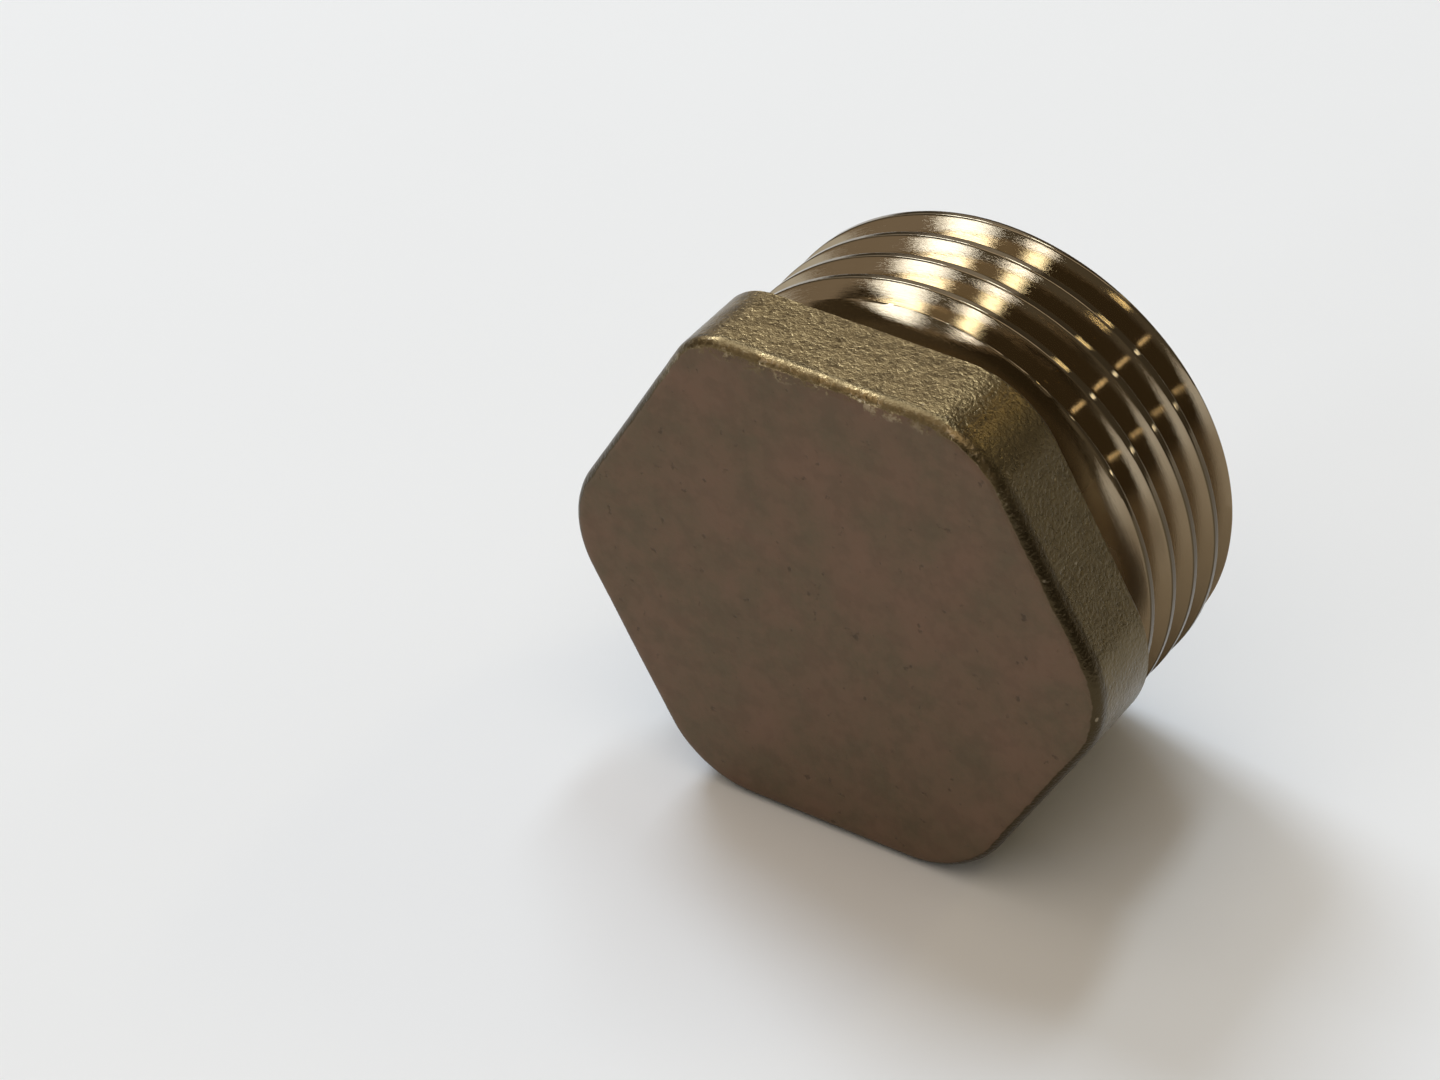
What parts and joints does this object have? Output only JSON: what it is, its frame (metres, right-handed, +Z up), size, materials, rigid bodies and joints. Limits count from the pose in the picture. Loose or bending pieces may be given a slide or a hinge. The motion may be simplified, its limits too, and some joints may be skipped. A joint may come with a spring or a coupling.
{
  "type": "pipe plug",
  "caption": "Brass pipe plug: a low hexagon head with rounded corners and a short parallel pipe thread, hollowed from the thread's end, for closing a threaded outlet.",
  "frame": {"origin": "on the plug's axis, in the plane of the shoulder behind the head", "axes": "+Y along the axis from the head to the thread's open end, +Z up, with a flat of the hexagon underneath"},
  "size_m": [0.0186, 0.0107, 0.017],
  "materials": {
    "brass": "grit-blasted forged skin on the head, bright machined thread"
  },
  "bodies": {
    "root": {"pipe_plug": "brass"}
  },
  "joints": []
}
